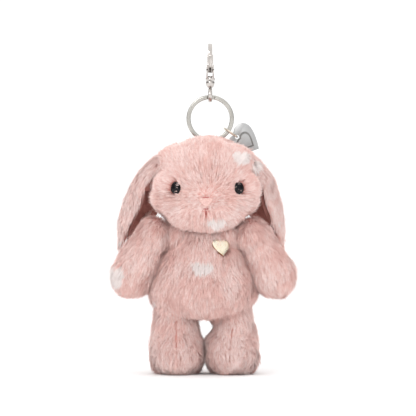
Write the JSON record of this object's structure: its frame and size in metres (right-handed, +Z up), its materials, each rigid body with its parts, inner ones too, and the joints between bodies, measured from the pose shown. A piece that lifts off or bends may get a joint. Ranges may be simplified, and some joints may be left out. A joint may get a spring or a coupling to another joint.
{
  "type": "plush keychain",
  "caption": "Small plush lop-eared bunny hung by its crown from a split key ring with a heart charm and a swivel snap hook.",
  "frame": {"origin": "inner top of the snap hook's bow, where the keychain hangs", "axes": "+Z up along the hook and the hanging bunny, -Y out of its face, +X to its left-hand side (right as seen from the front)"},
  "size_m": [0.105, 0.0671, 0.1922],
  "materials": {
    "nickel": "polished",
    "satin_steel": "satin",
    "warm_steel": "polished",
    "dark_steel": "satin",
    "champagne": "polished",
    "pile": "matte",
    "lining": "matte",
    "filling": "matte",
    "ribbon": "matte",
    "eye_black": "gloss",
    "washer_white": "matte",
    "nose_pink": "matte",
    "thread": "matte"
  },
  "bodies": {
    "hook": {"hook_frame": "nickel", "gate_pin": "dark_steel"},
    "gate": {"gate_lever": "nickel", "gate_spring": "dark_steel"},
    "swivel": {"swivel_eye": "nickel"},
    "ring": {"key_ring": "nickel"},
    "link": {"charm_link": "warm_steel"},
    "charm": {"heart_charm": "satin_steel"},
    "head": {"hang_loop": "ribbon", "head_skin": "pile", "head_stuffing": "filling", "eye_left": "eye_black", "eye_right": "eye_black", "eye_washer_left": "washer_white", "eye_washer_right": "washer_white", "nose_pad": "nose_pink", "mouth_stitch": "thread"},
    "left_ear": {"ear_left": "pile", "ear_lining_left": "lining"},
    "right_ear": {"ear_right": "pile", "ear_lining_right": "lining"},
    "torso": {"body_skin": "pile", "body_stuffing": "filling", "badge_pin": "champagne", "badge_clutch": "nickel", "tail": "pile"},
    "left_arm": {"arm_skin_left": "pile", "arm_stuffing_left": "filling"},
    "right_arm": {"arm_skin_right": "pile", "arm_stuffing_right": "filling"},
    "left_leg": {"leg_skin_left": "pile", "leg_stuffing_left": "filling"},
    "right_leg": {"leg_skin_right": "pile", "leg_stuffing_right": "filling"}
  },
  "joints": [
    {"name": "gate_hinge", "type": "hinge", "parent": "hook", "child": "gate", "pos_m": [0, -0.0042, -0.0132], "axis": [1, 0, 0], "range_deg": [-25, 0], "stiffness_Nm_per_rad": 0.002, "springref_deg": 17.19},
    {"name": "swivel_turn", "type": "hinge", "parent": "hook", "child": "swivel", "pos_m": [0, 0, -0.02], "axis": [0, 0, 1], "continuous": true},
    {"name": "ring_swing", "type": "hinge", "parent": "swivel", "child": "ring", "pos_m": [0, 0, -0.0291], "axis": [1, 0, 0], "range_deg": [-60, 60]},
    {"name": "link_slide", "type": "hinge", "parent": "ring", "child": "link", "pos_m": [0, 0, -0.0418], "axis": [0, 1, 0], "range_deg": [-45, 0]},
    {"name": "charm_tilt", "type": "hinge", "parent": "link", "child": "charm", "pos_m": [0.01563, 0, -0.05234], "axis": [0, 1, 0], "range_deg": [-20, 0]},
    {"name": "head_swing", "type": "hinge", "parent": "ring", "child": "head", "pos_m": [0, 0, -0.0545], "axis": [1, 0, 0], "range_deg": [-35, 4]},
    {"name": "left_ear_lift", "type": "hinge", "parent": "head", "child": "left_ear", "pos_m": [-0.0226, -0.012, -0.0585], "axis": [0, 1, 0], "range_deg": [0, 20]},
    {"name": "right_ear_lift", "type": "hinge", "parent": "head", "child": "right_ear", "pos_m": [0.0182, -0.012, -0.0585], "axis": [0, -1, 0], "range_deg": [0, 20]},
    {"name": "neck_nod", "type": "hinge", "parent": "head", "child": "torso", "pos_m": [-0.0042, -0.009, -0.106], "axis": [1, 0, 0], "range_deg": [-8, 8], "stiffness_Nm_per_rad": 0.06},
    {"name": "left_arm_swing", "type": "hinge", "parent": "torso", "child": "left_arm", "pos_m": [-0.033, -0.016, -0.1095], "axis": [1, 0, 0], "range_deg": [-75, 0], "stiffness_Nm_per_rad": 0.004},
    {"name": "right_arm_swing", "type": "hinge", "parent": "torso", "child": "right_arm", "pos_m": [0.0252, -0.016, -0.1095], "axis": [1, 0, 0], "range_deg": [-75, 0], "stiffness_Nm_per_rad": 0.004},
    {"name": "left_leg_swing", "type": "hinge", "parent": "torso", "child": "left_leg", "pos_m": [-0.0192, -0.01, -0.16], "axis": [1, 0, 0], "range_deg": [-35, 15], "stiffness_Nm_per_rad": 0.008},
    {"name": "right_leg_swing", "type": "hinge", "parent": "torso", "child": "right_leg", "pos_m": [0.0126, -0.01, -0.16], "axis": [1, 0, 0], "range_deg": [-35, 15], "stiffness_Nm_per_rad": 0.008}
  ]
}
